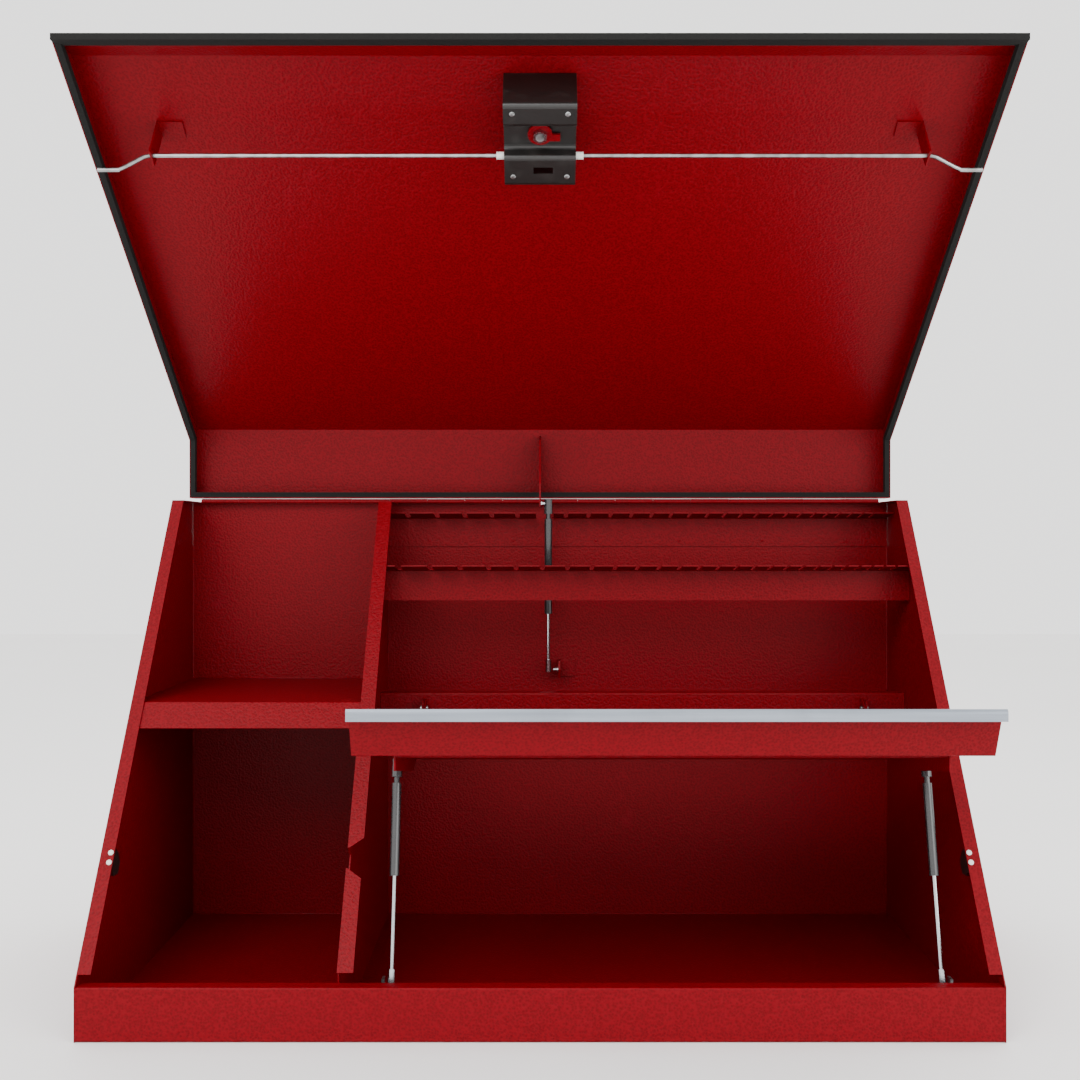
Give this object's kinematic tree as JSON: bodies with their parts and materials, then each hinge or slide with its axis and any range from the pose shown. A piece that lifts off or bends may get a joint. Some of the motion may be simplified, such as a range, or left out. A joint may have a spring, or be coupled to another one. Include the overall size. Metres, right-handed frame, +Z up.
{
  "type": "slant-front tool chest",
  "caption": "Open slant-front sheet-steel tool chest with a gas-strut lid, rod latch, divider, shelf, slotted wrench rails and a lift-up tray.",
  "frame": {"origin": "middle of the base, at floor level", "axes": "+X to the right seen from the front, +Y to the back, +Z up"},
  "size_m": [1.041, 0.5937, 1.0993],
  "materials": {
    "red_powder_coat": "wrinkled powder coat",
    "black_plastic_coat": "satin black",
    "black_strut": "gloss black",
    "white_nylon": "satin",
    "zinc_steel": "zinc plated",
    "bright_steel": "polished",
    "aluminium_trim": "brushed",
    "seal_rubber": "matte"
  },
  "bodies": {
    "chest_body": {"floor_pan": "red_powder_coat", "back_panel": "red_powder_coat", "left_side_panel": "red_powder_coat", "right_side_panel": "red_powder_coat", "divider_panel": "red_powder_coat", "left_shelf": "red_powder_coat", "wrench_rail_upper": "red_powder_coat", "wrench_rail_lower": "red_powder_coat", "catch_left": "black_plastic_coat", "catch_right": "black_plastic_coat", "catch_rivet_left_upper": "white_nylon", "catch_rivet_left_lower": "white_nylon", "catch_rivet_right_upper": "white_nylon", "catch_rivet_right_lower": "white_nylon", "hinge_leaf_fixed": "zinc_steel", "hinge_pin": "zinc_steel", "strut_wall_bracket": "red_powder_coat", "strut_wall_stud": "bright_steel", "tray_hinge_bar": "red_powder_coat", "tray_hinge_pin_left": "zinc_steel", "tray_hinge_pin_right": "zinc_steel", "strut_foot_left": "zinc_steel", "strut_foot_right": "zinc_steel"},
    "lid": {"lid_shell": "red_powder_coat", "lid_seal": "seal_rubber", "lid_rib": "red_powder_coat", "lid_strut_stud": "bright_steel", "hinge_leaf_moving": "zinc_steel", "latch_cover": "black_plastic_coat", "rod_sleeve_left": "white_nylon", "rod_sleeve_right": "white_nylon", "rod_guide_left": "red_powder_coat", "rod_guide_right": "red_powder_coat", "latch_escutcheon": "black_plastic_coat"},
    "latch_turn": {"latch_spindle": "zinc_steel", "latch_cam": "red_powder_coat", "latch_nut": "bright_steel", "latch_handle": "black_plastic_coat"},
    "rod_left": {"latch_rod_left": "zinc_steel"},
    "rod_right": {"latch_rod_right": "zinc_steel"},
    "lid_strut_body": {"lid_strut_tube": "black_strut"},
    "lid_strut_piston": {"lid_strut_rod": "bright_steel"},
    "tray": {"tray_pan": "red_powder_coat", "tray_face": "red_powder_coat", "tray_plate_left": "red_powder_coat", "tray_plate_right": "red_powder_coat", "tray_trim": "aluminium_trim", "tray_strut_stud_left": "bright_steel", "tray_strut_stud_right": "bright_steel"},
    "tray_strut_body_left": {"tray_strut_tube_left": "black_strut"},
    "tray_strut_piston_left": {"tray_strut_rod_left": "bright_steel"},
    "tray_strut_body_right": {"tray_strut_tube_right": "black_strut"},
    "tray_strut_piston_right": {"tray_strut_rod_right": "bright_steel"}
  },
  "joints": [
    {"name": "lid_hinge", "type": "hinge", "parent": "chest_body", "child": "lid", "pos_m": [0, 0.233, 0.61785], "axis": [1, 0, 0], "range_deg": [0, 90], "stiffness_Nm_per_rad": 30, "springref_deg": -126.05},
    {"name": "latch_handle_turn", "type": "hinge", "parent": "lid", "child": "latch_turn", "pos_m": [0, -0.22205, 1.02818], "axis": [0, 0.5752, 0.818], "range_deg": [0, 30]},
    {"name": "latch_rod_left_slide", "type": "slide", "parent": "lid", "child": "rod_left", "axis": [-1, 0, 0], "range_m": [0, 0.0101]},
    {"name": "latch_rod_right_slide", "type": "slide", "parent": "lid", "child": "rod_right", "axis": [1, 0, 0], "range_m": [0, 0.0101]},
    {"name": "lid_strut_pivot", "type": "hinge", "parent": "lid", "child": "lid_strut_body", "pos_m": [0.0122, 0.197, 0.61385], "axis": [-1, 0, 0], "range_deg": [0, 106]},
    {"name": "lid_strut_slide", "type": "slide", "parent": "lid_strut_body", "child": "lid_strut_piston", "axis": [0, -0.0797, 0.9968], "range_m": [0, 0.032]},
    {"name": "tray_hinge", "type": "hinge", "parent": "chest_body", "child": "tray", "pos_m": [0.14675, 0.1365, 0.323], "axis": [1, 0, 0], "range_deg": [0, 40.5]},
    {"name": "tray_strut_left_pivot", "type": "hinge", "parent": "tray", "child": "tray_strut_body_left", "pos_m": [-0.17225, -0.1285, 0.29], "axis": [-1, 0, 0], "range_deg": [0, 100]},
    {"name": "tray_strut_left_slide", "type": "slide", "parent": "tray_strut_body_left", "child": "tray_strut_piston_left", "axis": [0, 0.2594, 0.9658], "range_m": [0, 0.1]},
    {"name": "tray_strut_right_pivot", "type": "hinge", "parent": "tray", "child": "tray_strut_body_right", "pos_m": [0.46575, -0.1285, 0.29], "axis": [-1, 0, 0], "range_deg": [0, 100]},
    {"name": "tray_strut_right_slide", "type": "slide", "parent": "tray_strut_body_right", "child": "tray_strut_piston_right", "axis": [0, 0.2594, 0.9658], "range_m": [0, 0.1]}
  ],
  "couplings": [
    {"joint": "latch_rod_left_slide", "follows": "latch_handle_turn", "m_per_rad": 0.019},
    {"joint": "latch_rod_right_slide", "follows": "latch_handle_turn", "m_per_rad": 0.019},
    {"joint": "lid_strut_pivot", "follows": "lid_hinge", "ratio": 1.1122},
    {"joint": "lid_strut_slide", "follows": "lid_hinge", "m_per_rad": 0.020237},
    {"joint": "tray_hinge", "follows": "lid_hinge", "ratio": 0.43889},
    {"joint": "tray_strut_left_pivot", "follows": "lid_hinge", "ratio": 0.9504},
    {"joint": "tray_strut_left_slide", "follows": "lid_hinge", "m_per_rad": 0.052953},
    {"joint": "tray_strut_right_pivot", "follows": "lid_hinge", "ratio": 0.9504},
    {"joint": "tray_strut_right_slide", "follows": "lid_hinge", "m_per_rad": 0.052953}
  ]
}
